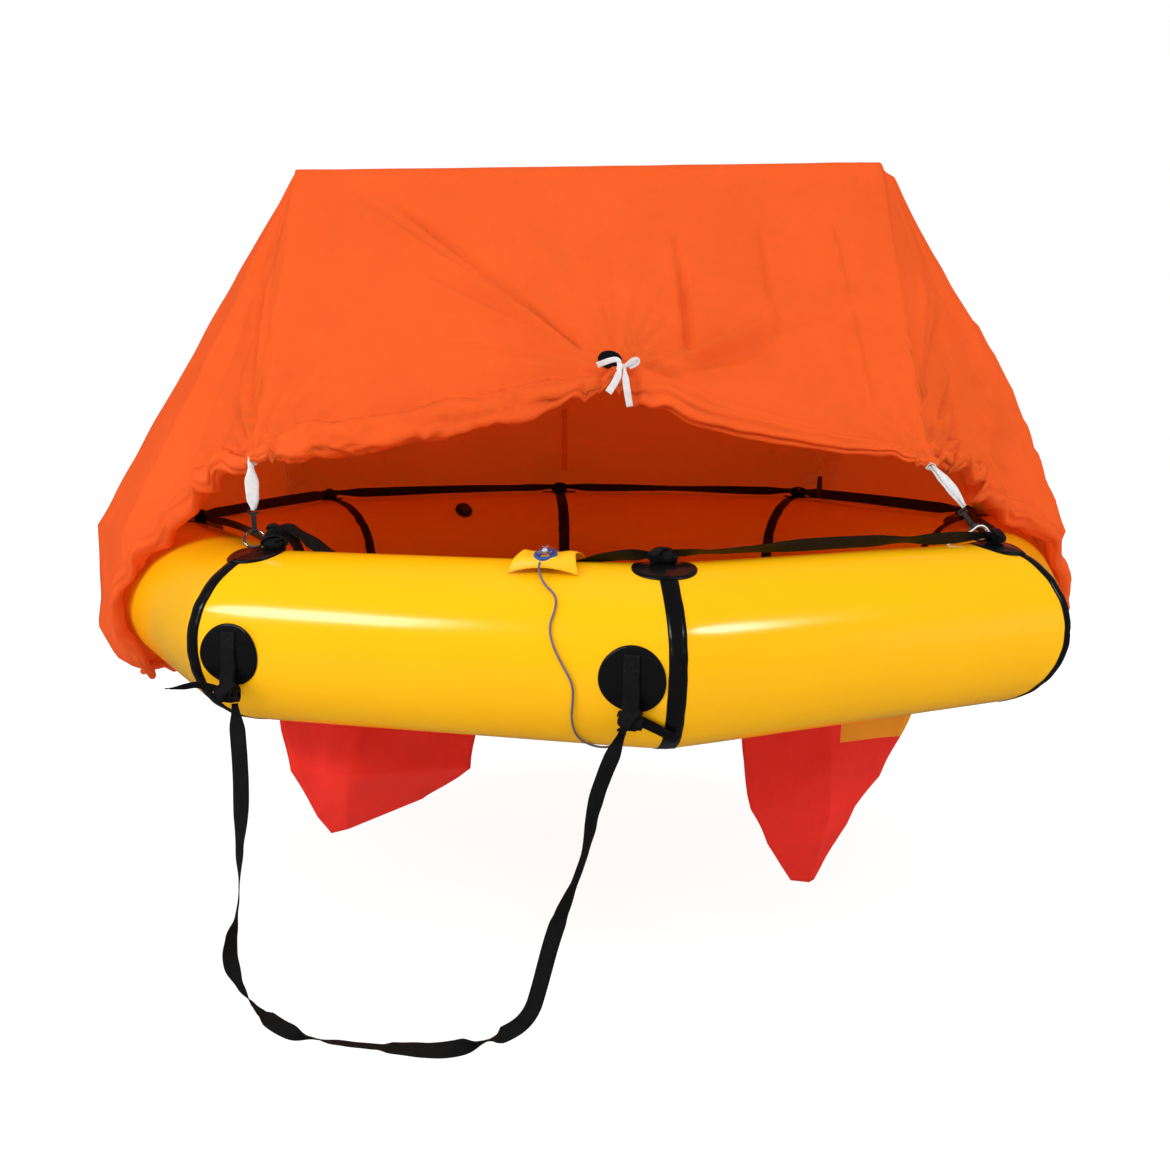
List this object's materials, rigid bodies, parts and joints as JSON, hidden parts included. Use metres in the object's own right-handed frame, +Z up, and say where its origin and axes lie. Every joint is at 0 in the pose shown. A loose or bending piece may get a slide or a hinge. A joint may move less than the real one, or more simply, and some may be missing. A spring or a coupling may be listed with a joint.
{
  "type": "inflatable life raft",
  "caption": "Octagonal inflatable life raft with an arch-held canopy, drawn-up door, lifeline, ballast bags, boarding strap, light, valve and gas cylinder.",
  "frame": {"origin": "middle of the tube ring, on the plane of the foot of the tube, where the raft floats", "axes": "+Z up, -Y towards the boarding side at the front corner of the octagon, +X to the right of someone who faces the door"},
  "size_m": [2.1018, 2.0753, 1.522],
  "materials": {
    "tube_cloth": "coated cloth under air pressure, smooth, with a soft gloss",
    "seam_tape": "black coated tape, glossy, with fine cloth lines",
    "black_patch": "black coated cloth patch, semi-gloss",
    "black_webbing": "black woven webbing with fine ribs",
    "floor_cloth": "orange coated floor cloth, matt",
    "canopy_cloth": "thin orange coated cloth that glows where light comes through",
    "white_tape": "white woven tape",
    "black_plastic": "black moulded plastic",
    "steel": "polished stainless bar",
    "white_plastic": "white moulded plastic",
    "blue_plastic": "blue moulded plastic",
    "clear_dome": "clear moulded dome",
    "wire_sheath": "grey-violet plastic sheath",
    "grey_plastic": "grey moulded plastic",
    "ballast_cloth": "thin red coated cloth, creased",
    "cylinder_paint": "grey painted gas cylinder",
    "brass": "machined brass",
    "red_plastic": "red moulded lever",
    "hose_rubber": "black rubber hose"
  },
  "bodies": {
    "raft": {"buoyancy_tube": "tube_cloth", "seam_tape_front_middle": "seam_tape", "seam_tape_front_right": "seam_tape", "seam_tape_right": "seam_tape", "seam_tape_rear_right": "seam_tape", "seam_tape_rear_middle": "seam_tape", "seam_tape_rear_left": "seam_tape", "seam_tape_left": "seam_tape", "seam_tape_front_left": "seam_tape", "lifeline_patch_front_middle": "black_patch", "lifeline_patch_front_right": "black_patch", "lifeline_patch_right": "black_patch", "lifeline_patch_rear_right": "black_patch", "lifeline_patch_rear_middle": "black_patch", "lifeline_patch_rear_left": "black_patch", "lifeline_patch_left": "black_patch", "lifeline_patch_front_left": "black_patch", "lifeline": "black_webbing", "floor": "floor_cloth", "arch_tube": "tube_cloth", "canopy": "canopy_cloth", "hook_left": "black_plastic", "tie_tape_left": "white_tape", "hook_right": "black_plastic", "tie_tape_right": "white_tape", "door_disc": "black_patch", "door_ribbon": "white_tape", "window_tape": "canopy_cloth", "toggle": "black_plastic", "vent_cords": "white_tape", "valve_body": "black_plastic", "valve_spring": "steel", "side_patch_left": "black_patch", "webbing_loop_left": "black_webbing", "strap_knot_left": "black_webbing", "side_patch_right": "black_patch", "webbing_loop_right": "black_webbing", "strap_knot_right": "black_webbing", "boarding_strap": "black_webbing", "light_flap": "tube_cloth", "light_base": "blue_plastic", "light_dome": "clear_dome", "light_bulb": "white_plastic", "light_wire": "wire_sheath", "battery_cell": "grey_plastic", "cell_strap": "black_webbing", "ballast_bag_front_left": "ballast_cloth", "ballast_bag_front_right": "ballast_cloth", "ballast_bag_rear_left": "ballast_cloth", "ballast_bag_rear_right": "ballast_cloth", "gas_cylinder": "cylinder_paint", "cylinder_head": "brass", "cylinder_straps": "black_webbing", "inlet_valve": "black_plastic", "inflation_hose": "hose_rubber"},
    "valve_cap": {"valve_cap": "black_plastic"},
    "valve_poppet": {"valve_poppet": "white_plastic"},
    "ring_left": {"ring_left": "steel"},
    "ring_right": {"ring_right": "steel"},
    "firing_lever": {"firing_lever": "red_plastic"}
  },
  "joints": [
    {"name": "valve_cap_turn", "type": "hinge", "parent": "raft", "child": "valve_cap", "pos_m": [-0.27428, 0.66217, 0.24181], "axis": [0.2561, -0.6182, 0.7431], "range_deg": [0, 90]},
    {"name": "valve_poppet_press", "type": "slide", "parent": "raft", "child": "valve_poppet", "axis": [-0.2561, 0.6182, -0.7431], "range_m": [0, 0.004], "stiffness_N_per_m": 400, "springref_m": -0.001, "deforming": ["valve_spring"]},
    {"name": "ring_left_turn", "type": "hinge", "parent": "raft", "child": "ring_left", "pos_m": [-0.63672, -0.60795, 0.29808], "axis": [0, -0.766, 0.6428], "continuous": true},
    {"name": "ring_right_turn", "type": "hinge", "parent": "raft", "child": "ring_right", "pos_m": [0.60672, -0.60795, 0.29808], "axis": [0, -0.766, 0.6428], "continuous": true},
    {"name": "firing_lever_pull", "type": "hinge", "parent": "raft", "child": "firing_lever", "pos_m": [0.206, 0.409, -0.042], "axis": [0, 0, -1], "range_deg": [0, 70]}
  ]
}
